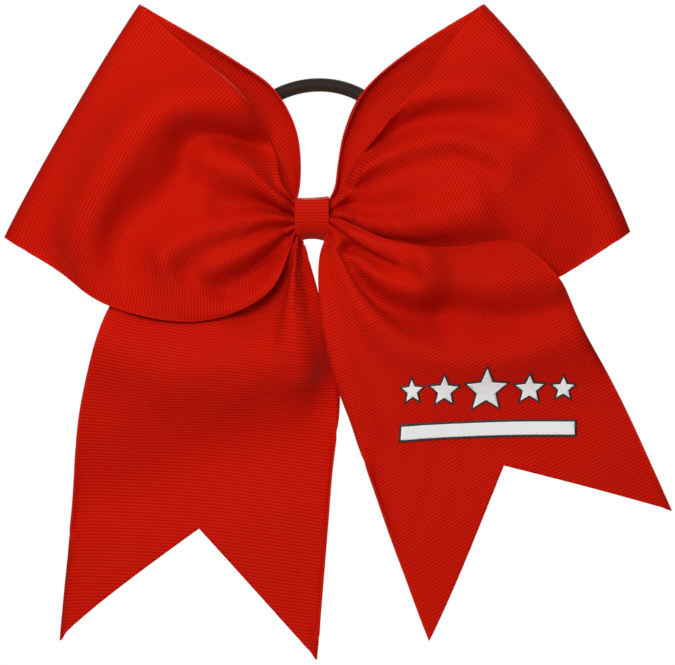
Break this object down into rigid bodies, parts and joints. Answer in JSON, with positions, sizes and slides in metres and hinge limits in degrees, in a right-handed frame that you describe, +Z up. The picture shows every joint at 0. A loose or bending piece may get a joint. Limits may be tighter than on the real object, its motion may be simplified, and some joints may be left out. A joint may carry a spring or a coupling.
{
  "type": "cheer hair bow",
  "caption": "Wide gathered ribbon bow with loops and dovetail tails, a wrapped knot and an elastic hair tie that swings behind it.",
  "frame": {"origin": "middle of the flat back of the knot, where the bow sits against the gathered hair", "axes": "+Z up as worn, +X to the right seen from the front, the front of the bow faces -Y and +Y points out of the knot's back"},
  "size_m": [0.1871, 0.038, 0.1845],
  "materials": {
    "ribbon": "satin",
    "wrap_ribbon": "satin",
    "thread": "matte",
    "glue": "satin",
    "tie_cover": "matte",
    "tie_core": "matte",
    "tie_joint": "satin",
    "black_film": "satin",
    "white_film": "satin"
  },
  "bodies": {
    "knot": {"knot_core": "ribbon", "cinch_thread": "thread", "centre_wrap": "wrap_ribbon", "wrap_glue": "glue"},
    "left_loop": {"left_loop": "ribbon"},
    "right_loop": {"right_loop": "ribbon"},
    "left_tail": {"left_tail": "ribbon"},
    "right_tail": {"right_tail": "ribbon", "star_outline_1": "black_film", "star_outline_2": "black_film", "star_outline_3": "black_film", "star_outline_4": "black_film", "star_outline_5": "black_film", "bar_outline": "black_film", "star_face_1": "white_film", "star_face_2": "white_film", "star_face_3": "white_film", "star_face_4": "white_film", "star_face_5": "white_film", "bar_face": "white_film"},
    "hair_tie": {"hair_tie_cover": "tie_cover", "hair_tie_core": "tie_core", "hair_tie_splice": "tie_joint"}
  },
  "joints": [
    {"name": "hair_tie_swing", "type": "hinge", "parent": "knot", "child": "hair_tie", "pos_m": [0, -0.0038, 0], "axis": [-1, 0, 0], "range_deg": [0, 150]},
    {"name": "left_loop_flex", "type": "hinge", "parent": "knot", "child": "left_loop", "pos_m": [-0.0064, -0.0103, 0], "axis": [0, 0, 1], "range_deg": [-8, 3], "stiffness_Nm_per_rad": 0.05},
    {"name": "right_loop_flex", "type": "hinge", "parent": "knot", "child": "right_loop", "pos_m": [0.0064, -0.0103, 0], "axis": [0, 0, -1], "range_deg": [-10, 1], "stiffness_Nm_per_rad": 0.05},
    {"name": "left_tail_flap", "type": "hinge", "parent": "knot", "child": "left_tail", "pos_m": [-0.0064, -0.0105, 0.005], "axis": [-0.9349, 0, 0.355], "range_deg": [-4, 7], "stiffness_Nm_per_rad": 0.004},
    {"name": "right_tail_flap", "type": "hinge", "parent": "knot", "child": "right_tail", "pos_m": [0.0064, -0.0135, 0.001], "axis": [-0.8131, 0, -0.5821], "range_deg": [-3, 45], "stiffness_Nm_per_rad": 0.004}
  ]
}
